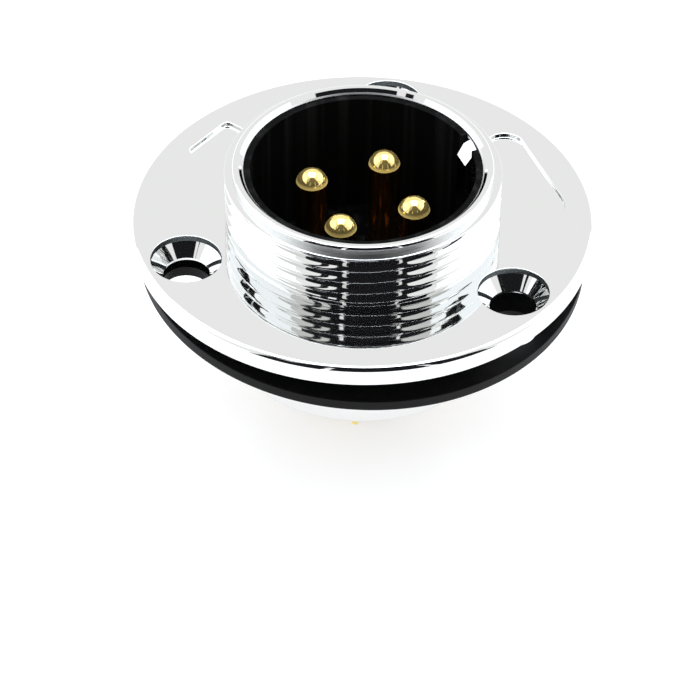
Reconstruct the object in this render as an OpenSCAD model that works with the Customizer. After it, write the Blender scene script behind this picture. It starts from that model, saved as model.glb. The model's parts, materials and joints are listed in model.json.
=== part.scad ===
// Panel-mount circular power connector, male, four contacts.
// A die-cast shell carries a round flange, a threaded front barrel and a plain rear
// barrel.  Two insulators hold the contacts, and a snap ring holds the insulators.
// Origin: on the axis, in the plane of the flange's underside, which faces the panel.
// +Z points to the mating side and +Y through the polarising key.  Millimetres.

/* [Flange] */
// Thickness of the flange
flange_t = 1.8; // [1.6:0.1:3]
// Width of the flange outside the screw heads
flange_margin = 0.7; // [0.5:0.1:3]
// Rounding of the flange's upper edge
flange_edge_r = 0.4; // [0.2:0.05:0.5]

/* [Screw holes] */
// Number of screw holes
screw_count = 3; // [3, 4]
// Diameter of the clearance hole
screw_hole_d = 4.0; // [3.4:0.1:4.4]
// Diameter of the sunk screw head
screw_head_d = 6.1; // [5.4:0.1:6.8]
// Height of the conical seat
screw_cone_h = 1.05; // [0.7:0.05:1.2]
// Height of the straight hole under the seat
screw_hole_h = 0.2; // [0.1:0.05:0.3]
// Distance from the thread to the screw heads
screw_land = 1.25; // [0.8:0.05:3]

/* [Front barrel] */
// Outside diameter of the coupling thread
thread_d = 23.9; // [21:0.1:27]
// Pitch of the coupling thread
thread_pitch = 1.2; // [1.1:0.05:1.5]
// Radial depth of the coupling thread
thread_depth = 0.69; // [0.5:0.01:0.75]
// Number of turns of the coupling thread
thread_turns = 4; // [3:1:6]
// Height of the plain collar above the thread
collar_h = 0.7; // [0.6:0.05:1.5]
// Wall of the collar
collar_wall = 0.96; // [0.8:0.02:1.3]
// Rounding of the collar's outer edge
rim_edge_r = 0.26; // [0.1:0.02:0.3]
// Width of the chamfer at the mouth of the bore
mouth_chamfer = 0.38; // [0.2:0.02:0.44]

/* [Key] */
// Width of the key where it meets the wall
key_root_w = 2.1; // [1.8:0.05:2.6]
// Width of the key at its tip
key_tip_w = 1.7; // [1.2:0.05:1.8]
// How far the key stands in from the wall
key_h = 1.1; // [0.9:0.05:1.4]
// Depth of the key's upper end below the rim
key_drop = 0.5; // [0.4:0.05:1.5]
// Drop of the sloping lead-in at its upper end
key_lead = 1.75; // [1:0.05:2.5]

/* [Rear barrel] */
// Width of the shoulder between the front and rear bores
shoulder_w = 0.6; // [0.5:0.05:1]
// Wall of the rear barrel
rear_wall = 1.21; // [1:0.01:1.6]
// Height of the wall below the snap ring's groove
rear_lip = 0.85; // [0.6:0.05:3]
// Rounding of the rear barrel's lower edge
rear_edge_r = 0.3; // [0.1:0.05:0.4]

/* [Label recesses] */
// Depth of the two recesses
recess_depth = 0.35; // [0.2:0.05:0.6]
// Distance of the long recess from the flange's edge
long_recess_inset = 2.85; // [2.4:0.05:3.2]
// Length of the long recess
long_recess_l = 12.2; // [8:0.1:12.6]
// Width of the long recess
long_recess_w = 3.5; // [3:0.1:4]
// Distance of the short recess from the flange's edge
short_recess_inset = 2.4; // [1.5:0.05:3]
// Length of the short recess
short_recess_l = 5.5; // [4:0.1:8]
// Width of the short recess
short_recess_w = 3.8; // [3:0.1:4.3]
// Rounding of the short recess's corners
short_recess_r = 0.5; // [0.2:0.1:1]

/* [Gasket] */
// Distance of the gasket's edge from the flange's edge
gasket_inset = 0.5; // [0.2:0.1:0.7]
// Thickness of the gasket
gasket_t = 1.0; // [0.8:0.1:1.5]
// Angle at which the loose gasket hangs on the rear barrel
gasket_tilt = 3.7; // [0:0.1:4.5]
// Direction in which it hangs lowest
gasket_low_angle = 15.7; // [0:0.1:360]

/* [Contacts] */
// Diameter of the circle the contacts stand on
pin_pcd = 9.6; // [8.4:0.1:10.8]
// Diameter of a contact's mating pin
pin_d = 2.75; // [2.3:0.05:3]
// Slope of the pin's domed end where it meets the straight part
pin_dome_slope = 10; // [5:1:30]
// How far the contact tips stand below the rim
pin_recess = 2.3; // [1:0.1:4]
// Step out to the body that passes the front insulator
pin_body_step = 0.25; // [0.1:0.05:0.4]
// Step out from the body to the collar that locks a contact
pin_collar_step = 0.55; // [0.4:0.05:0.7]
// Thickness of that collar
pin_collar_t = 0.8; // [0.5:0.05:1.2]
// Outside diameter of the solder cup
cup_d = 3.7; // [3.3:0.05:4]
// Wall of the solder cup
cup_wall = 0.5; // [0.4:0.05:0.7]
// Depth of the solder cup's bore
cup_bore_l = 6.4; // [5.5:0.1:7]
// How far the solder cups stand out behind the rear barrel
cup_reach = 6.5; // [5.2:0.1:8]
// Length of the solder cup's open side
cup_mouth_l = 4.4; // [3:0.1:5]
// Distance of the cup's cut from the contact's own axis
cup_cut = 0.25; // [0:0.05:0.6]

/* [Insulators] */
// Depth from the panel plane down to the floor of the mating cavity
floor_depth = 5; // [4.4:0.1:6]
// Wall of the front insulator's liner
liner_wall = 0.55; // [0.4:0.05:0.7]
// Depth of the liner's edge below the rim
liner_drop = 0.5; // [0.4:0.05:1]
// Thickness of the front insulator's disc
front_disc_t = 2.8; // [2.2:0.1:3.4]
// Thickness of the rear insulator
rear_disc_t = 2.1; // [1.6:0.1:2.6]

/* [Snap ring] */
// Thickness of the snap ring
ring_t = 0.8; // [0.6:0.05:1]
// Radial width of the snap ring
ring_w = 1.2; // [1:0.05:1.6]
// Depth of its groove in the rear barrel
groove_depth = 0.5; // [0.3:0.05:0.6]
// Angle between the centres of the ring's lugs
ring_gap = 40; // [30:1:60]
// Diameter of a lug
lug_d = 2.6; // [2.2:0.1:3]
// Diameter of the plier hole in a lug
lug_hole_d = 1.1; // [0.8:0.05:1.3]

/* [Fits] */
// Radial play of the insulators in the shell
insulator_play = 0.05; // [0.03:0.01:0.1]
// Radial play of a contact in its insulators
pin_play = 0.03; // [0.02:0.01:0.08]
// Side play of the key in the liner's slot
key_play = 0.1; // [0.05:0.01:0.2]
// Play of the snap ring in its groove
ring_play = 0.05; // [0.03:0.01:0.1]
// Radial play of the gasket on the rear barrel
gasket_play = 0.05; // [0.03:0.01:0.2]
// Gap left where the hanging gasket comes nearest the flange
gasket_touch = 0.1; // [0.05:0.01:0.2]
// How much wider the gasket's screw holes are than the shell's, all round
gasket_hole_play = 0.15; // [0.15:0.05:0.5]

/* [Hidden] */
PIN_COUNT = 4;

$fn = 96;
SMALL_FN = 36;
EPS = 0.01;

// angles about the axis: the key lies on +Y, and everything is set out from it
key_angle = 90;
first_screw = key_angle - 180 / screw_count;
first_pin = key_angle - 180 / PIN_COUNT;
short_recess_angle = key_angle + 120;
ring_angle = key_angle + 180;

// thread: a full profile with its crest an eighth of the pitch wide
flank_angle = 30;
crest_w = thread_pitch / 8;
groove_w = thread_pitch - crest_w;
root_w = groove_w - 2 * thread_depth * tan(flank_angle);
root_r = thread_d / 2 - thread_depth;

// heights, from the panel plane up and down
thread_top = flange_t + crest_w + thread_turns * thread_pitch;
rim_z = thread_top + collar_h;
tip_z = rim_z - pin_recess;
liner_top = rim_z - liner_drop;
key_top = rim_z - key_drop;
floor_z = -floor_depth;
split_z = floor_z - front_disc_t;
clamp_z = split_z - rear_disc_t;
groove_h = ring_t + ring_play;
rear_z = clamp_z - groove_h - rear_lip;
cup_z = rear_z - cup_reach;

// radii, from the thread inward
bore_r = root_r - collar_wall;
rear_bore_r = bore_r + shoulder_w;
rear_r = rear_bore_r + rear_wall;
liner_r = bore_r - insulator_play;
disc_r = rear_bore_r - insulator_play;
key_tip_r = bore_r - key_h;
groove_r = rear_bore_r + groove_depth;

// radii, from the thread outward
screw_r = thread_d / 2 + screw_land + screw_head_d / 2;
flange_r = screw_r + screw_head_d / 2 + flange_margin;
gasket_r = flange_r - gasket_inset;

// contact
pin_r = pin_d / 2;
dome_r = pin_r / cos(pin_dome_slope);
pin_body_d = pin_d + 2 * pin_body_step;
pin_collar_d = pin_body_d + 2 * pin_collar_step;
cup_bore_d = cup_d - 2 * cup_wall;

// ---------- helpers ----------

// copies the children round the axis
module around(count, start = 0) {
    for (i = [0 : count - 1])
        rotate([0, 0, start + i * 360 / count]) children();
}

// 2D: what a fillet of radius r takes off an outside corner at the origin
module corner_cut(r) {
    difference() {
        translate([-r, -r]) square(r + EPS);
        translate([-r, -r]) circle(r = r, $fn = SMALL_FN);
    }
}

// a tube standing on z
module tube(outer_r, inner_r, z, h) {
    translate([0, 0, z]) difference() {
        cylinder(r = outer_r, h = h);
        translate([0, 0, -EPS]) cylinder(r = inner_r, h = h + 2 * EPS);
    }
}

// ---------- shell ----------

// half section of the flange, with its upper edge rounded
module flange_section() {
    difference() {
        translate([rear_bore_r, 0]) square([flange_r - rear_bore_r, flange_t]);
        translate([flange_r, flange_t]) corner_cut(flange_edge_r);
    }
}

// half section of the threaded front barrel and the collar above it
module front_section() {
    difference() {
        polygon([
            [bore_r, floor_z],
            [root_r, floor_z],
            [root_r, flange_t - EPS],
            [thread_d / 2, flange_t - EPS],
            [thread_d / 2, thread_top],
            [root_r, thread_top],
            [root_r, rim_z],
            [bore_r + mouth_chamfer, rim_z],
            [bore_r, rim_z - mouth_chamfer]
        ]);
        translate([root_r, rim_z]) corner_cut(rim_edge_r);
        for (i = [0 : thread_turns - 1])
            translate([thread_d / 2, thread_top - crest_w - groove_w / 2 - i * thread_pitch])
                thread_groove();
    }
}

// one groove of the thread, its mouth on the Y axis
module thread_groove() {
    widen = EPS * tan(flank_angle);
    polygon([
        [EPS, -groove_w / 2 - widen],
        [EPS, groove_w / 2 + widen],
        [-thread_depth, root_w / 2],
        [-thread_depth, -root_w / 2]
    ]);
}

// half section of the rear barrel with the snap ring's groove
module rear_section() {
    difference() {
        polygon([
            [rear_bore_r, rear_z],
            [rear_r, rear_z],
            [rear_r, EPS],
            [bore_r, EPS],
            [bore_r, floor_z],
            [rear_bore_r, floor_z]
        ]);
        translate([rear_r, rear_z]) mirror([0, 1]) corner_cut(rear_edge_r);
        translate([rear_bore_r - EPS, clamp_z - groove_h])
            square([groove_depth + EPS, groove_h]);
    }
}

// the key: a tapered rib inside the front barrel with a sloping upper end
module key() {
    embed = 0.4;
    height = key_top - floor_z;
    rotate([0, 0, key_angle]) difference() {
        translate([0, 0, floor_z]) linear_extrude(height) polygon([
            [key_tip_r, -key_tip_w / 2],
            [bore_r, -key_root_w / 2],
            [bore_r + embed, -key_root_w / 2],
            [bore_r + embed, key_root_w / 2],
            [bore_r, key_root_w / 2],
            [key_tip_r, key_tip_w / 2]
        ]);
        translate([0, key_root_w, 0]) rotate([90, 0, 0])
            linear_extrude(2 * key_root_w) polygon([
                [bore_r, key_top],
                [key_tip_r, key_top - key_lead],
                [key_tip_r - key_h, key_top - key_lead],
                [key_tip_r - key_h, key_top + key_lead],
                [bore_r, key_top + key_lead]
            ]);
    }
}

// what one countersunk screw takes out of the flange
module screw_cut() {
    head_z = screw_hole_h + screw_cone_h;
    translate([screw_r, 0, 0]) {
        translate([0, 0, -EPS]) cylinder(d = screw_hole_d, h = head_z, $fn = SMALL_FN);
        translate([0, 0, screw_hole_h])
            cylinder(d1 = screw_hole_d, d2 = screw_head_d, h = screw_cone_h, $fn = SMALL_FN);
        translate([0, 0, head_z])
            cylinder(d = screw_head_d, h = flange_t - head_z + EPS, $fn = SMALL_FN);
    }
}

// a recess with round ends, set out from its outer edge
module long_recess() {
    end_x = (long_recess_l - long_recess_w) / 2;
    translate([0, flange_r - long_recess_inset - long_recess_w / 2, flange_t - recess_depth])
        linear_extrude(recess_depth + EPS) {
            square([2 * end_x, long_recess_w], center = true);
            for (side = [-1, 1])
                translate([side * end_x, 0]) circle(d = long_recess_w, $fn = SMALL_FN);
        }
}

// a rectangular recess with small round corners
module short_recess() {
    r = short_recess_r;
    translate([0, flange_r - short_recess_inset - short_recess_w / 2, flange_t - recess_depth])
        linear_extrude(recess_depth + EPS) {
            square([short_recess_l, short_recess_w - 2 * r], center = true);
            square([short_recess_l - 2 * r, short_recess_w], center = true);
            for (x = [-1, 1], y = [-1, 1])
                translate([x * (short_recess_l / 2 - r), y * (short_recess_w / 2 - r)])
                    circle(r = r, $fn = SMALL_FN);
        }
}

module shell() {
    color("gainsboro") {
        difference() {
            rotate_extrude() {
                flange_section();
                front_section();
                rear_section();
            }
            around(screw_count, first_screw) screw_cut();
            rotate([0, 0, key_angle - 90]) long_recess();
            rotate([0, 0, short_recess_angle - 90]) short_recess();
        }
        key();
    }
}

// ---------- gasket ----------

// the loose gasket, hanging from its bore on the rear barrel
module gasket() {
    hole_r = rear_r / cos(gasket_tilt) + gasket_t / 2 * tan(gasket_tilt) + gasket_play;
    drop = gasket_r * sin(gasket_tilt) + gasket_touch;
    color("dimgray") translate([0, 0, -drop])
        rotate([0, 0, gasket_low_angle]) rotate([0, gasket_tilt, 0])
            rotate([0, 0, -gasket_low_angle]) difference() {
                tube(gasket_r, hole_r, -gasket_t, gasket_t);
                around(screw_count, first_screw) translate([screw_r, 0, -gasket_t - EPS])
                    cylinder(r = screw_hole_d / 2 + gasket_hole_play, h = gasket_t + 2 * EPS,
                             $fn = SMALL_FN);
            }
}

// ---------- insulators ----------

// a hole at each contact
module contact_holes(d, z, h) {
    around(PIN_COUNT, first_pin) translate([pin_pcd / 2, 0, z])
        cylinder(d = d + 2 * pin_play, h = h, $fn = SMALL_FN);
}

// the disc and liner that line the mating cavity, slotted for the key
module front_insulator() {
    slot_w = key_root_w + 2 * key_play;
    color([0.09, 0.09, 0.1]) difference() {
        union() {
            translate([0, 0, split_z]) cylinder(r = disc_r, h = front_disc_t);
            tube(liner_r, liner_r - liner_wall, floor_z - EPS, liner_top - floor_z + EPS);
        }
        rotate([0, 0, key_angle]) translate([key_tip_r - key_play, -slot_w / 2, floor_z])
            cube([bore_r, slot_w, liner_top - floor_z + EPS]);
        contact_holes(pin_body_d, split_z - EPS, front_disc_t + 2 * EPS);
        contact_holes(pin_collar_d, split_z - EPS, pin_collar_t + EPS);
    }
}

// the disc that clamps the contacts' collars from behind
module rear_insulator() {
    color([0.13, 0.13, 0.14]) difference() {
        translate([0, 0, clamp_z]) cylinder(r = disc_r, h = rear_disc_t);
        contact_holes(cup_d, clamp_z - EPS, rear_disc_t + 2 * EPS);
    }
}

// ---------- snap ring ----------

// internal spring ring with two plier lugs, seated in the groove under the insulators
module snap_ring() {
    outer_r = groove_r - ring_play;
    inner_r = outer_r - ring_w;
    lug_r = rear_bore_r - insulator_play - lug_d / 2;
    gap = ring_gap / 2;
    reach = 2 * outer_r;
    color("slategray") translate([0, 0, clamp_z - ring_t]) rotate([0, 0, ring_angle])
        linear_extrude(ring_t) difference() {
            union() {
                difference() {
                    circle(r = outer_r);
                    circle(r = inner_r);
                    polygon([
                        [0, 0],
                        [reach * cos(gap), -reach * sin(gap)],
                        [reach * cos(gap), reach * sin(gap)]
                    ]);
                }
                for (side = [-1, 1]) rotate(side * gap)
                    translate([lug_r, 0]) circle(d = lug_d, $fn = SMALL_FN);
            }
            for (side = [-1, 1]) rotate(side * gap)
                translate([lug_r, 0]) circle(d = lug_hole_d, $fn = SMALL_FN);
        }
}

// ---------- contacts ----------

// the mating pin, domed at its end
module pin() {
    dome_z = tip_z - dome_r;
    intersection() {
        translate([0, 0, floor_z]) cylinder(r = pin_r, h = tip_z - floor_z, $fn = SMALL_FN);
        union() {
            translate([0, 0, dome_z]) sphere(r = dome_r);
            translate([0, 0, floor_z - EPS]) cylinder(r = dome_r, h = dome_z - floor_z + EPS);
        }
    }
}

// a turned contact on its own axis: pin, body, collar and solder cup
module contact() {
    collar_top = split_z + pin_collar_t;
    drill_tip = cup_bore_d / 2 * tan(flank_angle);
    difference() {
        union() {
            pin();
            translate([0, 0, collar_top])
                cylinder(d = pin_body_d, h = floor_z - collar_top, $fn = SMALL_FN);
            translate([0, 0, split_z]) cylinder(d = pin_collar_d, h = pin_collar_t, $fn = SMALL_FN);
            translate([0, 0, cup_z]) cylinder(d = cup_d, h = split_z - cup_z, $fn = SMALL_FN);
        }
        translate([0, 0, cup_z - EPS])
            cylinder(d = cup_bore_d, h = cup_bore_l + EPS, $fn = SMALL_FN);
        translate([0, 0, cup_z + cup_bore_l])
            cylinder(d1 = cup_bore_d, d2 = 0, h = drill_tip, $fn = SMALL_FN);
        translate([0, cup_d / 2 + EPS, 0]) rotate([90, 0, 0])
            linear_extrude(cup_d + 2 * EPS) polygon([
                [cup_cut, cup_z - EPS],
                [cup_d, cup_z - EPS],
                [cup_d, cup_z + cup_mouth_l + cup_d * tan(flank_angle)],
                [cup_cut, cup_z + cup_mouth_l]
            ]);
    }
}

// contact number i in its place, its solder cup opening outward
module placed_contact(i) {
    color("goldenrod") rotate([0, 0, first_pin + (i - 1) * 360 / PIN_COUNT])
        translate([pin_pcd / 2, 0, 0]) contact();
}

shell();
gasket();
front_insulator();
rear_insulator();
snap_ring();
for (i = [1 : PIN_COUNT])
    placed_contact(i);
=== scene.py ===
"""Looks of a panel-mount circular power connector: chromed shell, gold contacts, rubber gasket.

Everything is drawn in millimetres about the connector's own axis and scaled to metres when
a mesh is made.  +Z points to the mating side, +Y through the key, z = 0 is the panel plane.
"""

import json
import math

import bmesh
import bpy
from mathutils import Matrix, Vector


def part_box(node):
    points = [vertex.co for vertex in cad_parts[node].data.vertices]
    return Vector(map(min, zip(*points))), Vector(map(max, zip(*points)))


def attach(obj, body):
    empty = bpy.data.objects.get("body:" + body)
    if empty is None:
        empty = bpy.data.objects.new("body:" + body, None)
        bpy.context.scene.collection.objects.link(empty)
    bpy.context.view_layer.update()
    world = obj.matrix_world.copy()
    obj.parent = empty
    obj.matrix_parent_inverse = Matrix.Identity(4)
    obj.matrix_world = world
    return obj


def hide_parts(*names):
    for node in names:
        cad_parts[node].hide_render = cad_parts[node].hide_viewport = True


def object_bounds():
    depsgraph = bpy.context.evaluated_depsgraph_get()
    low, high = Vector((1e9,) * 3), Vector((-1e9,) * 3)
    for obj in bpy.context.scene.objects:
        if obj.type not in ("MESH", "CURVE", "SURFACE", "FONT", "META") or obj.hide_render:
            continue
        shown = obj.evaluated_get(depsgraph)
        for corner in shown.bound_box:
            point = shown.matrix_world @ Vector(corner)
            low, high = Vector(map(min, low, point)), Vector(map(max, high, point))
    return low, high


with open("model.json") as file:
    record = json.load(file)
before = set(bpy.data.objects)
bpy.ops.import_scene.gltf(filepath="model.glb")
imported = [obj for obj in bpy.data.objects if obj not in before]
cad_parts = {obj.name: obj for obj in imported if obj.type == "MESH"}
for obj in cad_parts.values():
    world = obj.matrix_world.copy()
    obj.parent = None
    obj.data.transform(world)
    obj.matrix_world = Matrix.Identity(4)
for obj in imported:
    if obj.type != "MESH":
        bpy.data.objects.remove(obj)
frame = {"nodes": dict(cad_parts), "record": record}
cad_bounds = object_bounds()

MM = 0.001
mounts = {m["name"]: m for m in frame["record"]["mounts"]}


def corner_mm(node, which):
    """The lowest (0) or highest (1) corner of a CAD node's box, in millimetres."""
    return Vector(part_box(node)[which]) / MM


# ---------------------------------------------------------------- sizes, in millimetres

# shell
FLANGE_R = corner_mm("shell", 1).x
FLANGE_T = 1.8
FLANGE_EDGE_R = 0.4
FLANGE_FOOT_R = 0.08
RIM_Z = corner_mm("shell", 1).z
REAR_Z = corner_mm("shell", 0).z
COLLAR_H = 0.7
BORE_R = 10.3
RIM_EDGE_R = 0.26
MOUTH_CHAMFER = 0.38
REAR_R = 12.11
REAR_EDGE_R = 0.3
REAR_BORE_R = 10.9
FLOOR_Z = -5.0

# coupling thread: THREAD_FLANK is a flank's rise for each millimetre along the axis, and
# THREAD_START the angle in degrees at which the ridge starts
THREAD_R = mounts["coupling_thread"]["dims"]["r_mm"]
THREAD_DEPTH = 0.69
THREAD_PITCH = 1.2
THREAD_FLANK = math.tan(math.radians(55))
THREAD_BLEND = 0.35
THREAD_BASE_H = 0.2
THREAD_LAND_H = 0.12
THREAD_EDGE_R = 0.07
THREAD_SUNK = 0.05
THREAD_START = 337.6
HELIX_STEPS = 192
PROFILE_POINTS = 33
ROOT_R = THREAD_R - THREAD_DEPTH
THREAD_TOP = RIM_Z - COLLAR_H
COLLAR_FOOT = THREAD_TOP + 0.01  # just above the thread's end face

# screw holes
SCREW_R = mounts["flange_screws"]["dims"]["pcd_mm"] / 2
SCREW_COUNT = mounts["flange_screws"]["dims"]["count"]
SCREW_HOLE_R = mounts["flange_screws"]["dims"]["hole_r_mm"]
SCREW_HEAD_R = 3.05
SCREW_HEAD_SINK = 0.55
SCREW_CONE_H = 1.05
SCREW_BLEND = 0.06
SCREW_WALL_TOP = 3  # the point of screw_path() where the upright wall ends
# the mark on the screw holes' upright walls, where the chrome is painted darker as shade
SCREW_WALL_SHADE = "screw_wall_shade"
FIRST_SCREW = 90 - 180 / SCREW_COUNT

# recesses: their angle in degrees, how far out they reach, and their outline
RECESS_DEPTH = 0.35
RECESS_BLEND = 0.1
RECESS_DRAFT = 0.03
LONG_RECESS = {"angle": 90, "reach": 17.15, "length": 12.2, "width": 3.5, "corner": 1.75}
SHORT_RECESS = {"angle": 210, "reach": 17.6, "length": 5.5, "width": 3.8, "corner": 0.5}

# key
KEY_H = 1.1
KEY_ROOT_W = 2.1
KEY_TIP_W = 1.7
KEY_DROP = 0.5
KEY_LEAD = 1.75
KEY_SUNK = 0.3

# snap ring groove
CLAMP_Z = corner_mm("rear_insulator", 0).z
GROOVE_R = 11.4
GROOVE_H = 0.85

# contacts
PIN_R = mounts["contact_1_pin"]["dims"]["r_mm"]
TIP_Z = corner_mm("contact_1", 1).z
CUP_Z = corner_mm("contact_1", 0).z
SPLIT_Z = corner_mm("rear_insulator", 1).z
PIN_BODY_R = 1.65
PIN_DOME_SLOPE = math.radians(10)
PIN_DOME_R = PIN_R / math.cos(PIN_DOME_SLOPE)
DOME_Z = TIP_Z - PIN_DOME_R * (1 - math.sin(PIN_DOME_SLOPE))
DOME_FOOT = DOME_Z + 0.001  # just above the edge of the dome
FROST_H = 0.45
PIN_COLLAR_R = 2.2
PIN_COLLAR_T = 0.8
CUP_R = 1.85
CUP_BORE_R = 1.35
CUP_BORE_L = 6.4
CUP_MOUTH_L = 4.4
CUP_CUT = 0.25
CUP_SLOPE = math.tan(math.radians(30))

# gasket
GASKET_R = 19.5
GASKET_T = 1.0
GASKET_TILT = math.radians(3.7)
GASKET_LOW = math.radians(15.7)
GASKET_TOUCH = 0.1
GASKET_PLAY = 0.05
GASKET_HOLE_R = 2.15
GASKET_EDGE_R = 0.07

# camera: lengths in millimetres, angles in radians
VIEW_AZIMUTH = math.radians(67.6)
VIEW_ELEVATION = math.radians(39.7655)
VIEW_DISTANCE = 307.709
VIEW_LIFT = 0.19
VIEW_PAN = 0.0030293
VIEW_TILT = -0.0342451
VIEW_ROLL = 0.0133813
VIEW_ANGLE = math.radians(11.3174)

# studio: the lamps and the cloths stand at STUDIO_R from the object
FLOOR_R = 1500.0
FLOOR_GLOW = 0.62
STUDIO_R = 900.0
CLOTH_STEPS = 12
CLOTH_LIFT = 0.5

# name, azimuth from the camera and elevation in degrees, width, power in watts
LAMPS = (
    ("overhead", 180, 75, 700.0, 6.0),
    ("left_side", -100, 32, 900.0, 2.1),
    ("right_side", 110, 32, 900.0, 2.3),
)

# name, left and right azimuth, lowest and highest elevation, how near it comes on the floor
CLOTHS = (
    ("cloth_left", -45, -15.5, 0, 44, 60.0),
    ("cloth_middle", -12.5, 28, 0, 44, 60.0),
    ("cloth_right", 30.5, 56, 0, 44, 60.0),
    ("cloth_above", -35, 51, 44, 78, None),
    ("cloth_strip", -52, -44, 44, 74, None),
)

# smoothness: points round a large and a small circle, and the sharpest angle that is blended
ROUND = 256
SMALL_ROUND = 96
CREASE = math.radians(28)

# closeness: an upright normal, points that are merged, and a circle that is as good as a point
LEVEL = 0.99999
SAME_POINT = 1e-4
WELD = 1e-5
AXIS_R = 1e-6


# ---------------------------------------------------------------- outlines

def arc(x, y, radius, start, end, steps=8):
    """Points of an arc about (x, y), with its angles in degrees."""
    turn = [math.radians(start + (end - start) * i / steps) for i in range(steps + 1)]
    return [(x + radius * math.cos(a), y + radius * math.sin(a)) for a in turn]


def circle(radius, z, count, x=0.0, y=0.0):
    """A loop of points round (x, y) at height z."""
    turn = [2 * math.pi * i / count for i in range(count)]
    return [Vector((x + radius * math.cos(a), y + radius * math.sin(a), z)) for a in turn]


def rounded_outline(recess, grow, z):
    """A recess's outline, grown by some amount, in its place on the flange."""
    corner = recess["corner"]
    half_l = recess["length"] / 2 - corner
    half_w = recess["width"] / 2 - corner
    middle = recess["reach"] - recess["width"] / 2
    spin = Matrix.Rotation(math.radians(recess["angle"] - 90), 3, "Z")
    loop = []
    for start, side_x, side_y in ((0, 1, 1), (90, -1, 1), (180, -1, -1), (270, 1, -1)):
        points = arc(side_x * half_l, side_y * half_w, corner + grow, start, start + 90, 12)
        loop += [spin @ Vector((x, middle + y, z)) for x, y in points]
    return [p for i, p in enumerate(loop) if (p - loop[i - 1]).length > SAME_POINT]


# ---------------------------------------------------------------- mesh building

def loft(bm, loops, closed=True):
    """Joins loops of equal length with faces, and returns the rows of vertices."""
    rows = [[bm.verts.new(p) for p in loop] for loop in loops]
    count = len(rows[0])
    for low, high in zip(rows, rows[1:]):
        for i in range(count if closed else count - 1):
            j = (i + 1) % count
            bm.faces.new((low[i], low[j], high[j], high[i]))
    return rows


def revolve(bm, path, count=ROUND, x=0.0, y=0.0):
    """Turns an (r, z) path about the axis through (x, y), closing it where it meets the axis."""
    loops = [circle(max(r, AXIS_R), z, count, x, y) for r, z in path]
    rows = loft(bm, loops)
    for (r, _), row in zip((path[0], path[-1]), (rows[0], rows[-1])):
        if r == 0:
            bmesh.ops.pointmerge(bm, verts=row, merge_co=Vector((x, y, row[0].co.z)))
    return rows


def prism(bm, low, high):
    """A closed solid between two outlines of equal length."""
    for row in loft(bm, [low, high]):
        bm.faces.new(row)


def screw_holes(bm, path):
    """Turns a half section about each screw's axis, and returns each hole's rows of vertices."""
    turns = [math.radians(FIRST_SCREW + i * 360 / SCREW_COUNT) for i in range(SCREW_COUNT)]
    return [revolve(bm, path, SMALL_ROUND, SCREW_R * math.cos(a), SCREW_R * math.sin(a))
            for a in turns]


def fill_between(bm, rows):
    """Fills the flat region that the rows of vertices enclose."""
    edges = []
    for row in rows:
        edges += [bm.edges.get((a, b)) for a, b in zip(row, row[1:] + row[:1])]
    bmesh.ops.triangle_fill(bm, use_beauty=True, use_dissolve=False, edges=edges)


def clean(bm):
    """Merges the points that coincide and turns all faces outward."""
    bmesh.ops.remove_doubles(bm, verts=bm.verts, dist=WELD)
    bmesh.ops.recalc_face_normals(bm, faces=bm.faces)


def mesh_object(name, bm):
    """Turns a bmesh into an object of the scene."""
    mesh = bpy.data.meshes.new(name)
    bm.to_mesh(mesh)
    bm.free()
    made = bpy.data.objects.new(name, mesh)
    bpy.context.scene.collection.objects.link(made)
    return made


def shading_normals(mesh):
    """Corner normals that keep flat faces flat and blend rounded edges into them."""
    crease = math.cos(CREASE)
    around = [[] for _ in mesh.vertices]
    for face in mesh.polygons:
        for v in face.vertices:
            around[v].append(face.index)
    normals = [f.normal.copy() for f in mesh.polygons]
    areas = [f.area for f in mesh.polygons]
    level = [abs(n.z) > LEVEL for n in normals]
    result = []
    for face in mesh.polygons:
        own = normals[face.index]
        for v in face.vertices:
            near = [i for i in around[v] if normals[i].dot(own) > crease]
            flat = [i for i in near if level[i]]
            total = Vector()
            for i in flat or near:
                total += normals[i] * areas[i]
            result.append(total.normalized())
    return result


def make_piece(name, bm, material, replaced, place=None):
    """Turns a mesh in millimetres into a finished piece in metres."""
    clean(bm)
    bm.transform(Matrix.Scale(MM, 4) @ (place or Matrix()))
    for face in bm.faces:
        face.smooth = True
    piece = mesh_object(name, bm)
    piece.data.materials.append(material)
    piece.data.normals_split_custom_set(shading_normals(piece.data))
    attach(piece, "root")
    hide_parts(*replaced)
    return piece


# ---------------------------------------------------------------- materials

def linear(hex_colour):
    """An sRGB hex colour as linear red, green, blue and alpha."""
    parts = [int(hex_colour[i:i + 2], 16) / 255 for i in (1, 3, 5)]
    return [p / 12.92 if p <= 0.04045 else ((p + 0.055) / 1.055) ** 2.4 for p in parts] + [1.0]


def add_node(tree, kind, settings=None, *inputs, **named_inputs):
    """Adds a node, sets its properties and sockets, and fills its inputs in order or by name.

    An input takes a number, an output, or a node, which stands for its first output.
    """
    node = tree.nodes.new(kind)
    for key, value in (settings or {}).items():
        if isinstance(key, str) and hasattr(node, key):
            setattr(node, key, value)
        else:
            node.inputs[key].default_value = value
    pairs = list(zip(node.inputs, inputs))
    pairs += [(node.inputs[key.replace("_", " ")], value) for key, value in named_inputs.items()]
    for place, value in pairs:
        source = value.outputs[0] if isinstance(value, bpy.types.Node) else value
        if isinstance(source, bpy.types.NodeSocket):
            tree.links.new(source, place)
        else:
            place.default_value = source
    return node


# a Math node and its operations
MATH = "ShaderNodeMath"
PLUS, MINUS, TIMES, OVER, LARGER, ABOVE, BELOW, UNSIGNED, SOFT_MIN, SOFT_MAX = (
    {"operation": name} for name in (
        "ADD", "SUBTRACT", "MULTIPLY", "DIVIDE", "MAXIMUM", "GREATER_THAN", "LESS_THAN",
        "ABSOLUTE", "SMOOTH_MIN", "SMOOTH_MAX"))

# the sockets of a Mix node that mixes colours
FIRST_COLOUR, SECOND_COLOUR, MIXED_COLOUR = 6, 7, 2


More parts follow.
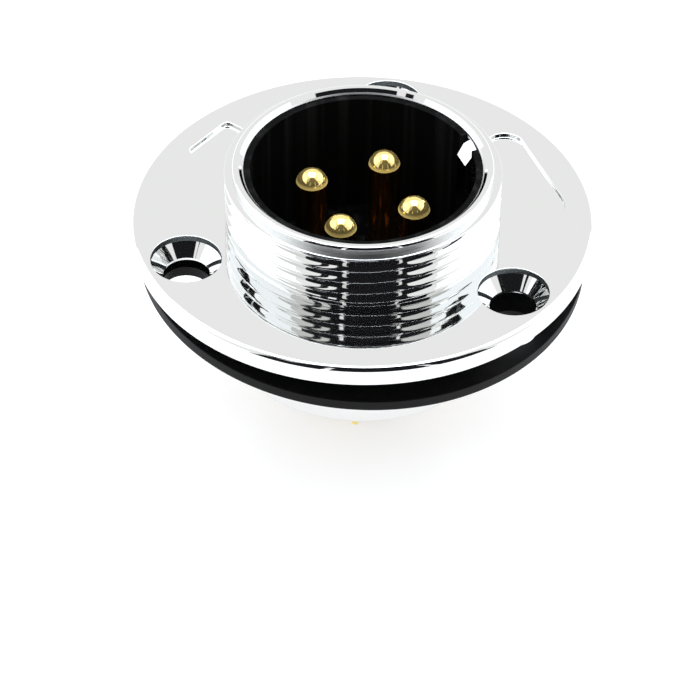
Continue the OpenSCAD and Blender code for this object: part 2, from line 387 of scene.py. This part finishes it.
def new_material(name):
    """An empty node material and its tree."""
    material = bpy.data.materials.new(name)
    material.use_nodes = True
    material.node_tree.nodes.clear()
    return material, material.node_tree


def bright_chrome_plate():
    """Chrome over a die-casting: a mirror with a faint ripple, satin round the collar, with painted
    shade on the screw holes' walls.
    """
    material, tree = new_material("bright_chrome_plate")
    place = add_node(tree, "ShaderNodeTexCoord").outputs["Object"]
    # ripple about 2 mm across, from polishing a cast face before it is plated
    ripple = add_node(tree, "ShaderNodeTexNoise", {"Scale": 500.0, "Detail": 1.0}, Vector=place)
    bump = add_node(tree, "ShaderNodeBump", {"Strength": 0.01, "Distance": 0.0001}, Height=ripple)
    height = add_node(tree, "ShaderNodeSeparateXYZ", None, place).outputs["Z"]
    above = add_node(tree, MATH, ABOVE, height, COLLAR_FOOT * MM)
    below = add_node(tree, MATH, BELOW, height, (RIM_Z - RIM_EDGE_R) * MM)
    collar = add_node(tree, MATH, TIMES, above, below)
    polish = add_node(tree, "ShaderNodeMapRange", {"To Min": 0.035, "To Max": 0.38}, Value=collar)
    # painted shade: the upright walls of the screw holes are coloured dark grey, standing in for
    # the shade inside the holes, and given a duller finish
    hole_wall_shade = add_node(tree, "ShaderNodeAttribute", {"attribute_name": SCREW_WALL_SHADE}).outputs["Fac"]
    tint = add_node(tree, "ShaderNodeMix", {
        "data_type": "RGBA",
        FIRST_COLOUR: linear("#E6E7E6"),
        SECOND_COLOUR: linear("#6E7475"),
    }, hole_wall_shade).outputs[MIXED_COLOUR]
    dull = add_node(tree, MATH, TIMES, hole_wall_shade, 0.45)
    rough = add_node(tree, MATH, LARGER, polish, dull)
    skin = add_node(tree, "ShaderNodeBsdfPrincipled", {"Metallic": 1.0},
                    Base_Color=tint, Roughness=rough, Normal=bump)
    add_node(tree, "ShaderNodeOutputMaterial", None, skin)
    return material


def bright_gold_plate():
    """Gold over turned brass: a pale yellow mirror, frosted on the domes, with painted shade making
    it brown down the pins in the cavity.
    """
    material, tree = new_material("bright_gold_plate")
    place = add_node(tree, "ShaderNodeTexCoord").outputs["Object"]
    height = add_node(tree, "ShaderNodeSeparateXYZ", None, place).outputs["Z"]
    domed = add_node(tree, MATH, ABOVE, height, DOME_FOOT * MM)
    straight = add_node(tree, MATH, MINUS, 1.0, domed)
    in_cavity = add_node(tree, MATH, ABOVE, height, FLOOR_Z * MM)
    shaded_shaft = add_node(tree, MATH, TIMES, straight, in_cavity)
    polish = add_node(tree, "ShaderNodeMapRange", {"To Min": 0.06, "To Max": 0.16}, Value=shaded_shaft)
    # painted shade: the shafts inside the cavity take a darker, browner gold than the domes,
    # standing in for the shade down there
    colour = add_node(tree, "ShaderNodeMix", {
        "data_type": "RGBA",
        FIRST_COLOUR: linear("#FFE898"),
        SECOND_COLOUR: linear("#D0A050"),
    }, shaded_shaft).outputs[MIXED_COLOUR]
    mirror = add_node(tree, "ShaderNodeBsdfPrincipled", {"Metallic": 1.0},
                      Base_Color=colour, Roughness=polish)
    # frosted round the foot of the dome, where a socket first touches, and clearer towards its top
    frosted = add_node(tree, "ShaderNodeMapRange", {
        "interpolation_type": "SMOOTHSTEP",
        "From Min": DOME_Z * MM, "From Max": (DOME_Z + FROST_H) * MM,
        "To Min": 0.95, "To Max": 0.14,
    }, Value=height)
    frost = add_node(tree, "ShaderNodeBsdfDiffuse", {"Color": linear("#FFDF84")})
    share = add_node(tree, MATH, TIMES, domed, frosted)
    both = add_node(tree, "ShaderNodeMixShader", None, share, mirror, frost)
    add_node(tree, "ShaderNodeOutputMaterial", None, both)
    return material


def nitrile_rubber():
    """Die-cut nitrile sheet: near black with a dull sheen."""
    material, tree = new_material("nitrile_rubber")
    place = add_node(tree, "ShaderNodeTexCoord").outputs["Object"]
    # grain about 0.25 mm across, from the calender that rolled the sheet
    grain = add_node(tree, "ShaderNodeTexNoise", {"Scale": 4000.0, "Detail": 3.0}, Vector=place)
    bump = add_node(tree, "ShaderNodeBump", {"Strength": 0.15, "Distance": 0.00005}, Height=grain)
    skin = add_node(tree, "ShaderNodeBsdfPrincipled", {
        "Base Color": linear("#0A0A0B"), "Roughness": 0.5, "Specular IOR Level": 0.14,
    }, Normal=bump)
    add_node(tree, "ShaderNodeOutputMaterial", None, skin)
    return material


def phenolic_moulding():
    """Black phenolic, smooth from the mould, with faint upright streaks of painted reflection in
    its colour.
    """
    material, tree = new_material("phenolic_moulding")
    place = add_node(tree, "ShaderNodeTexCoord").outputs["Object"]
    # painted reflection: lighter upright streaks about 1 mm wide and many times that in height,
    # standing in for the pins and the light mirrored in the wall
    upright = add_node(tree, "ShaderNodeMapping", {"Scale": (1.0, 1.0, 0.02)}, Vector=place)
    reflection_streaks = add_node(tree, "ShaderNodeTexNoise", {"Scale": 700.0, "Detail": 2.0}, Vector=upright)
    shade = add_node(tree, "ShaderNodeMapRange", {
        "From Min": 0.5, "From Max": 0.72, "To Min": 0.003, "To Max": 0.014,
    }, Value=reflection_streaks)
    skin = add_node(tree, "ShaderNodeBsdfPrincipled", {
        "Roughness": 0.15, "Specular IOR Level": 0.03,
    }, Base_Color=shade)
    add_node(tree, "ShaderNodeOutputMaterial", None, skin)
    return material


def spring_steel():
    """Stamped spring steel, oiled: mid grey with a soft shine."""
    material, tree = new_material("spring_steel")
    skin = add_node(tree, "ShaderNodeBsdfPrincipled", {
        "Base Color": linear("#8A8D92"), "Metallic": 1.0, "Roughness": 0.3,
    })
    add_node(tree, "ShaderNodeOutputMaterial", None, skin)
    return material


def white_paper():
    """Matt paper for the floor: white, with the object's soft shadow on it.

    It glows a little, and as much for metal and glass that mirror it as for the eye.
    """
    material, tree = new_material("white_paper")
    paper = add_node(tree, "ShaderNodeBsdfDiffuse", {"Color": linear("#C4C4C4")})
    path = add_node(tree, "ShaderNodeLightPath").outputs
    opaque = add_node(tree, MATH, PLUS, path["Is Camera Ray"], path["Is Glossy Ray"])
    seen = add_node(tree, MATH, PLUS, opaque, path["Is Transmission Ray"])
    strength = add_node(tree, MATH, TIMES, seen, FLOOR_GLOW)
    glow = add_node(tree, "ShaderNodeEmission", {"Color": linear("#FFFFFF")}, Strength=strength)
    both = add_node(tree, "ShaderNodeAddShader", None, paper, glow)
    add_node(tree, "ShaderNodeOutputMaterial", None, both)
    return material


def black_flock():
    """Flocked cloth: a deep black that gives the metal its dark bands."""
    material, tree = new_material("black_flock")
    flock = add_node(tree, "ShaderNodeBsdfDiffuse", {"Color": linear("#1C1C1E")})
    add_node(tree, "ShaderNodeOutputMaterial", None, flock)
    return material


# ---------------------------------------------------------------- coupling thread

def thread_group(material, names):
    """Geometry Nodes: one ridge swept along a helix, and cut off level at its two ends."""
    tree = bpy.data.node_groups.new("coupling_thread", "GeometryNodeTree")
    tree.is_modifier = True
    tree.interface.new_socket(name="Geometry", in_out="OUTPUT", socket_type="NodeSocketGeometry")
    for name in names:
        tree.interface.new_socket(name=name, in_out="INPUT", socket_type="NodeSocketFloat")
    sizes = add_node(tree, "NodeGroupInput").outputs

    # the helix round the core
    rise = add_node(tree, MATH, TIMES, sizes["Pitch"], sizes["Turns"])
    helix = add_node(tree, "GeometryNodeCurveSpiral", {"Resolution": HELIX_STEPS, "Reverse": True},
                     Rotations=sizes["Turns"], Start_Radius=sizes["Core radius"],
                     End_Radius=sizes["Core radius"], Height=rise)
    upright = add_node(tree, "GeometryNodeSetCurveNormal", {"mode": "Z_UP"}, Curve=helix)

    # one pitch of the thread's outline: straight flanks, rounded into the crest and the root
    half = add_node(tree, MATH, TIMES, sizes["Pitch"], 0.5)
    below = add_node(tree, MATH, TIMES, half, -1.0)
    low_end = add_node(tree, "ShaderNodeCombineXYZ", None, Y=below)
    high_end = add_node(tree, "ShaderNodeCombineXYZ", None, Y=half)
    line = add_node(tree, "GeometryNodeCurvePrimitiveLine", None, Start=low_end, End=high_end)
    points = add_node(tree, "GeometryNodeResampleCurve", {"Count": PROFILE_POINTS}, Curve=line)
    position = add_node(tree, "GeometryNodeInputPosition")
    along = add_node(tree, "ShaderNodeSeparateXYZ", None, position).outputs["Y"]
    flank = add_node(tree, MATH, TIMES, half, 0.5)
    from_flank = add_node(tree, MATH, MINUS, flank, add_node(tree, MATH, UNSIGNED, along))
    climb = add_node(tree, MATH, TIMES, from_flank, sizes["Flank slope"])
    climb = add_node(tree, MATH, OVER, climb, sizes["Ridge height"])
    climb = add_node(tree, MATH, PLUS, climb, 0.5)
    capped = add_node(tree, MATH, SOFT_MIN, climb, 1.0, sizes["Blend"])
    eased = add_node(tree, MATH, SOFT_MAX, capped, 0.0, sizes["Blend"])
    outward = add_node(tree, MATH, TIMES, eased, sizes["Ridge height"])
    wave = add_node(tree, "ShaderNodeCombineXYZ", None, X=outward, Y=along)
    profile = add_node(tree, "GeometryNodeSetPosition", None, Geometry=points, Position=wave)

    sweep = add_node(tree, "GeometryNodeCurveToMesh", None, Curve=upright, Profile_Curve=profile)
    lift = add_node(tree, "ShaderNodeCombineXYZ", None, Z=sizes["Start height"])
    spin = add_node(tree, "ShaderNodeCombineXYZ", None, Z=sizes["Start angle"])
    placed = add_node(tree, "GeometryNodeTransform", None, Geometry=sweep,
                      Translation=lift, Rotation=spin)

    # what stands past a level slides in along the flank, so the cut face is as wide as the ridge
    split = add_node(tree, "ShaderNodeSeparateXYZ", None,
                     add_node(tree, "GeometryNodeInputPosition")).outputs
    level = add_node(tree, "ShaderNodeClamp", None, Value=split["Z"],
                     Min=sizes["Lowest"], Max=sizes["Highest"])
    past = add_node(tree, MATH, UNSIGNED, add_node(tree, MATH, MINUS, split["Z"], level))
    flat = add_node(tree, "ShaderNodeCombineXYZ", None, X=split["X"], Y=split["Y"])
    radius = add_node(tree, "ShaderNodeVectorMath", {"operation": "LENGTH"}, flat).outputs["Value"]
    slide = add_node(tree, MATH, TIMES, past, sizes["Flank slope"])
    slid = add_node(tree, MATH, MINUS, radius, slide)
    kept = add_node(tree, MATH, LARGER, slid, sizes["Core radius"])
    share = add_node(tree, MATH, OVER, kept, radius)
    target = add_node(tree, "ShaderNodeCombineXYZ", None,
                      X=add_node(tree, MATH, TIMES, split["X"], share),
                      Y=add_node(tree, MATH, TIMES, split["Y"], share), Z=level)
    cut = add_node(tree, "GeometryNodeSetPosition", None, Geometry=placed, Position=target)

    whole = add_node(tree, "GeometryNodeRealizeInstances", None, Geometry=cut)
    dressed = add_node(tree, "GeometryNodeSetMaterial", {"Material": material}, Geometry=whole)
    add_node(tree, "NodeGroupOutput", None, Geometry=dressed)
    return tree


def thread_mesh(material):
    """The coupling thread as a plain mesh in millimetres."""
    start = FLANGE_T - THREAD_PITCH
    values = {
        "Core radius": ROOT_R,
        "Pitch": THREAD_PITCH,
        "Turns": (THREAD_TOP + THREAD_PITCH - start) / THREAD_PITCH,
        "Start height": start,
        "Start angle": math.radians(THREAD_START),
        "Ridge height": THREAD_DEPTH,
        "Flank slope": THREAD_FLANK,
        "Blend": THREAD_BLEND,
        "Lowest": FLANGE_T,
        "Highest": THREAD_TOP - THREAD_LAND_H,
    }
    holder = bpy.data.objects.new("thread_maker", bpy.data.meshes.new("thread_maker"))
    bpy.context.scene.collection.objects.link(holder)
    modifier = holder.modifiers.new("thread", "NODES")
    modifier.node_group = thread_group(material, values)
    for item in modifier.node_group.interface.items_tree:
        if item.name in values:
            modifier[item.identifier] = float(values[item.name])
    seen = holder.evaluated_get(bpy.context.evaluated_depsgraph_get())
    mesh = bpy.data.meshes.new_from_object(seen)
    bpy.data.objects.remove(holder)
    return mesh


# ---------------------------------------------------------------- shell

def screw_path():
    """Half section of a countersunk hole, from the flange's underside to its face."""
    cone_z = FLANGE_T - SCREW_HEAD_SINK - SCREW_CONE_H
    lip_z = FLANGE_T - SCREW_BLEND
    return [
        (SCREW_HOLE_R, 0.0),
        (SCREW_HOLE_R, cone_z),
        (SCREW_HEAD_R, cone_z + SCREW_CONE_H),
        *arc(SCREW_HEAD_R + SCREW_BLEND, lip_z, SCREW_BLEND, 180, 90, 5),
    ]


def recess_walls(bm, recess):
    """The floor and soft-edged walls of a recess; returns the row of vertices on the face."""
    floor_z = FLANGE_T - RECESS_DEPTH
    loops = [rounded_outline(recess, x, z) for x, z in (
        *arc(-RECESS_BLEND - RECESS_DRAFT, floor_z + RECESS_BLEND, RECESS_BLEND, 270, 360, 5),
        *arc(RECESS_BLEND, FLANGE_T - RECESS_BLEND, RECESS_BLEND, 180, 90, 5),
    )]
    rows = loft(bm, loops)
    fill_between(bm, [rows[0]])
    return rows[-1]


def barrel_path():
    """Half section of both barrels, from the flange's underside round to the foot of the thread."""
    rear_lip = REAR_EDGE_R / 3
    groove_z = CLAMP_Z - GROOVE_H
    edge_r = THREAD_R - THREAD_EDGE_R
    land_z = THREAD_TOP - THREAD_LAND_H
    base_z = FLANGE_T + THREAD_BASE_H
    return [
        (REAR_R, 0.0),
        *arc(REAR_R - REAR_EDGE_R, REAR_Z + REAR_EDGE_R, REAR_EDGE_R, 0, -90),
        *arc(REAR_BORE_R + rear_lip, REAR_Z + rear_lip, rear_lip, 270, 180, 4),
        (REAR_BORE_R, groove_z),
        (GROOVE_R, groove_z),
        (GROOVE_R, CLAMP_Z),
        (REAR_BORE_R, CLAMP_Z),
        (REAR_BORE_R, FLOOR_Z),
        (BORE_R, FLOOR_Z),
        (BORE_R, RIM_Z - MOUTH_CHAMFER),
        (BORE_R + MOUTH_CHAMFER, RIM_Z),
        *arc(ROOT_R - RIM_EDGE_R, RIM_Z - RIM_EDGE_R, RIM_EDGE_R, 90, 0),
        (ROOT_R, THREAD_TOP),
        *arc(edge_r, THREAD_TOP - THREAD_EDGE_R, THREAD_EDGE_R, 90, 0, 4),
        (THREAD_R, land_z),
        (ROOT_R - THREAD_SUNK, land_z),
        (ROOT_R - THREAD_SUNK, base_z),
        *arc(edge_r, base_z - THREAD_EDGE_R, THREAD_EDGE_R, 90, 0, 4),
        (THREAD_R, FLANGE_T),
    ]


def flange_edge_path():
    """Half section of the flange's edge, from its face round to its underside."""
    return [
        *arc(FLANGE_R - FLANGE_EDGE_R, FLANGE_T - FLANGE_EDGE_R, FLANGE_EDGE_R, 90, 0, 16),
        *arc(FLANGE_R - FLANGE_FOOT_R, FLANGE_FOOT_R, FLANGE_FOOT_R, 0, -90, 4),
    ]


def key_rib(bm):
    """The tapered key inside the front barrel, with its sloping upper end."""
    tip_r = BORE_R - KEY_H
    top = RIM_Z - KEY_DROP
    sections = (
        (BORE_R + KEY_SUNK, KEY_ROOT_W / 2, top),
        (BORE_R, KEY_ROOT_W / 2, top),
        (tip_r, KEY_TIP_W / 2, top - KEY_LEAD),
    )
    left = [(Vector((-w, y, FLOOR_Z)), Vector((-w, y, z))) for y, w, z in sections]
    right = [(Vector((w, y, FLOOR_Z)), Vector((w, y, z))) for y, w, z in reversed(sections)]
    feet, heads = zip(*(left + right))
    prism(bm, feet, heads)


def build_shell(material):
    """The whole die-casting as one mesh."""
    bm = bmesh.new()
    hole_wall_shade = bm.faces.layers.float.new(SCREW_WALL_SHADE)
    barrel = revolve(bm, barrel_path())
    edge = revolve(bm, flange_edge_path())
    face = [edge[0], barrel[-1]]
    underside = [edge[-1], barrel[0]]
    for hole in screw_holes(bm, screw_path()):
        # mark the upright walls of each screw hole, which the chrome paints darker as shade
        for vertex in hole[SCREW_WALL_TOP]:
            for wall in vertex.link_faces:
                wall[hole_wall_shade] = float(wall.calc_center_median().z < vertex.co.z)
        underside.append(hole[0])
        face.append(hole[-1])
    for recess in (LONG_RECESS, SHORT_RECESS):
        face.append(recess_walls(bm, recess))
    fill_between(bm, face)
    fill_between(bm, underside)
    key_rib(bm)
    bm.from_mesh(thread_mesh(material))
    return make_piece("shell_casting", bm, material, ["shell"])


# ---------------------------------------------------------------- contacts

def contact_path():
    """Half section of a contact, from its tip down to its solder cup's mouth and up the bore."""
    collar_z = SPLIT_Z + PIN_COLLAR_T
    return [
        *arc(0, TIP_Z - PIN_DOME_R, PIN_DOME_R, 90, math.degrees(PIN_DOME_SLOPE), 24),
        (PIN_R, FLOOR_Z),
        (PIN_BODY_R, FLOOR_Z),
        (PIN_BODY_R, collar_z),
        (PIN_COLLAR_R, collar_z),
        (PIN_COLLAR_R, SPLIT_Z),
        (CUP_R, SPLIT_Z),
        (CUP_R, CUP_Z),
        (CUP_BORE_R, CUP_Z),
        (CUP_BORE_R, CUP_Z + CUP_BORE_L),
        (0, CUP_Z + CUP_BORE_L + CUP_BORE_R * CUP_SLOPE),
    ]


def cup_cutter():
    """What opens one side of a solder cup."""
    far = 2 * CUP_R
    low = CUP_Z - 1
    high = CUP_Z + CUP_MOUTH_L
    outline = [(CUP_CUT, low), (far, low), (far, high + far * CUP_SLOPE), (CUP_CUT, high)]
    bm = bmesh.new()
    prism(bm, *([Vector((x, y, z)) for x, z in outline] for y in (-far, far)))
    clean(bm)
    return mesh_object("cup_cutter", bm)


def build_contact(name, angle, radius, material):
    """One contact in its place, its solder cup opening outward."""
    bm = bmesh.new()
    revolve(bm, contact_path(), SMALL_ROUND)
    clean(bm)
    turned = mesh_object("turned_contact", bm)
    cutter = cup_cutter()
    cut = turned.modifiers.new("cup", "BOOLEAN")
    cut.object = cutter
    cut.operation = "DIFFERENCE"
    cut.solver = "EXACT"
    seen = turned.evaluated_get(bpy.context.evaluated_depsgraph_get())
    bm = bmesh.new()
    bm.from_mesh(bpy.data.meshes.new_from_object(seen))
    bpy.data.objects.remove(turned)
    bpy.data.objects.remove(cutter)
    place = Matrix.Rotation(angle, 4, "Z") @ Matrix.Translation((radius, 0, 0))
    return make_piece(f"{name}_turned", bm, material, [name], place)


# ---------------------------------------------------------------- gasket

def build_gasket(material):
    """The loose gasket, hanging from its bore on the rear barrel."""
    bm = bmesh.new()
    soft = GASKET_EDGE_R
    bore_r = REAR_R / math.cos(GASKET_TILT) + GASKET_T / 2 * math.tan(GASKET_TILT) + GASKET_PLAY
    edge = revolve(bm, [
        *arc(GASKET_R - soft, -soft, soft, 90, 0, 4),
        *arc(GASKET_R - soft, soft - GASKET_T, soft, 0, -90, 4),
    ])
    bore = revolve(bm, [(bore_r, 0.0), (bore_r, -GASKET_T)])
    top = [edge[0], bore[0]]
    bottom = [edge[-1], bore[-1]]
    for hole in screw_holes(bm, [(GASKET_HOLE_R, 0.0), (GASKET_HOLE_R, -GASKET_T)]):
        top.append(hole[0])
        bottom.append(hole[-1])
    fill_between(bm, top)
    fill_between(bm, bottom)
    drop = GASKET_R * math.sin(GASKET_TILT) + GASKET_TOUCH
    lean = Matrix.Rotation(GASKET_LOW, 4, "Z") @ Matrix.Rotation(GASKET_TILT, 4, "Y")
    place = Matrix.Translation((0, 0, -drop)) @ lean @ Matrix.Rotation(-GASKET_LOW, 4, "Z")
    return make_piece("gasket_ring", bm, material, ["gasket"], place)


# ---------------------------------------------------------------- studio

def around_view(azimuth, elevation, distance):
    """A point in metres, with its azimuth counted from the camera towards the camera's right."""
    a = VIEW_AZIMUTH - math.pi / 2 + math.radians(azimuth)
    e = math.radians(elevation)
    return Vector((math.cos(a) * math.cos(e), math.sin(a) * math.cos(e), math.sin(e))) * distance


def set_camera():
    """The camera, turned a little off the object's centre."""
    turn = (Matrix.Rotation(VIEW_AZIMUTH, 4, "Z")
            @ Matrix.Rotation(math.pi / 2 - VIEW_ELEVATION, 4, "X"))
    stand = turn @ Vector((0, 0, VIEW_DISTANCE * MM)) + Vector((0, 0, VIEW_LIFT * MM))
    aim = (Matrix.Rotation(VIEW_PAN, 4, "Y") @ Matrix.Rotation(VIEW_TILT, 4, "X")
           @ Matrix.Rotation(VIEW_ROLL, 4, "Z"))
    data = bpy.data.cameras.new("camera")
    data.angle = VIEW_ANGLE
    data.clip_start = 0.01
    camera = bpy.data.objects.new("camera", data)
    camera.matrix_world = Matrix.Translation(stand) @ turn @ aim
    bpy.context.scene.collection.objects.link(camera)
    bpy.context.scene.camera = camera


def softbox(name, azimuth, elevation, width, power):
    """A square lamp that faces the object."""
    data = bpy.data.lights.new(name, "AREA")
    data.shape = "SQUARE"
    data.size = width * MM
    data.energy = power
    data.color = linear("#ECF3FF")[:3]
    lamp = bpy.data.objects.new(name, data)
    lamp.location = around_view(azimuth, elevation, STUDIO_R * MM)
    lamp.rotation_euler = (-lamp.location).to_track_quat("-Z", "Y").to_euler()
    bpy.context.scene.collection.objects.link(lamp)


def stage_piece(name, bm, material):
    """Turns a mesh in metres into a part of the studio."""
    piece = mesh_object(name, bm)
    piece.data.materials.append(material)
    return piece


def build_floor(material):
    """A plain round floor under the object."""
    bm = bmesh.new()
    bmesh.ops.create_circle(bm, cap_ends=True, segments=64, radius=FLOOR_R * MM)
    bm.transform(Matrix.Translation((0, 0, cad_bounds[0][2])))
    stage_piece("floor", bm, material)


def build_world():
    """Plain white all round."""
    world = bpy.data.worlds.new("studio")
    world.use_nodes = True
    tree = world.node_tree
    tree.nodes.clear()
    white = add_node(tree, "ShaderNodeBackground", {"Color": linear("#FFFFFF"), "Strength": 1.0})
    add_node(tree, "ShaderNodeOutputWorld", None, white)
    bpy.context.scene.world = world


def black_cloth(name, left, right, bottom, top, near, material):
    """Black cloth that the metal reflects, hung between two azimuths and two elevations.

    With a near distance it also runs in over the floor, to that far from the object.
    """
    shares = [i / CLOTH_STEPS for i in range(CLOTH_STEPS + 1)]
    turns = [left + (right - left) * share for share in shares]
    loops = [[around_view(a, bottom + (top - bottom) * share, STUDIO_R * MM) for a in turns]
             for share in shares]
    if near:
        lift = Vector((0, 0, cad_bounds[0][2] + CLOTH_LIFT * MM))
        loops.insert(0, [around_view(a, 0, near * MM) + lift for a in turns])
    bm = bmesh.new()
    loft(bm, loops, closed=False)
    cloth = stage_piece(name, bm, material)
    cloth.visible_camera = False
    cloth.visible_diffuse = False
    cloth.visible_shadow = False


# ---------------------------------------------------------------- the scene

bpy.context.scene.view_settings.view_transform = "Standard"
set_camera()

build_shell(bright_chrome_plate())
build_gasket(nitrile_rubber())
gold = bright_gold_plate()
for name, mount in mounts.items():
    if name.startswith("contact_"):
        x, y = (c / MM for c in mount["pos_m"][:2])
        build_contact(name.removesuffix("_pin"), math.atan2(y, x), math.hypot(x, y), gold)

moulding = phenolic_moulding()
for node, material in (
    ("front_insulator", moulding),
    ("rear_insulator", moulding),
    ("snap_ring", spring_steel()),
):
    for material_slot in frame["nodes"][node].material_slots:
        material_slot.material = material

build_world()
build_floor(white_paper())
flock = black_flock()
for cloth in CLOTHS:
    black_cloth(*cloth, flock)
for lamp in LAMPS:
    softbox(*lamp)
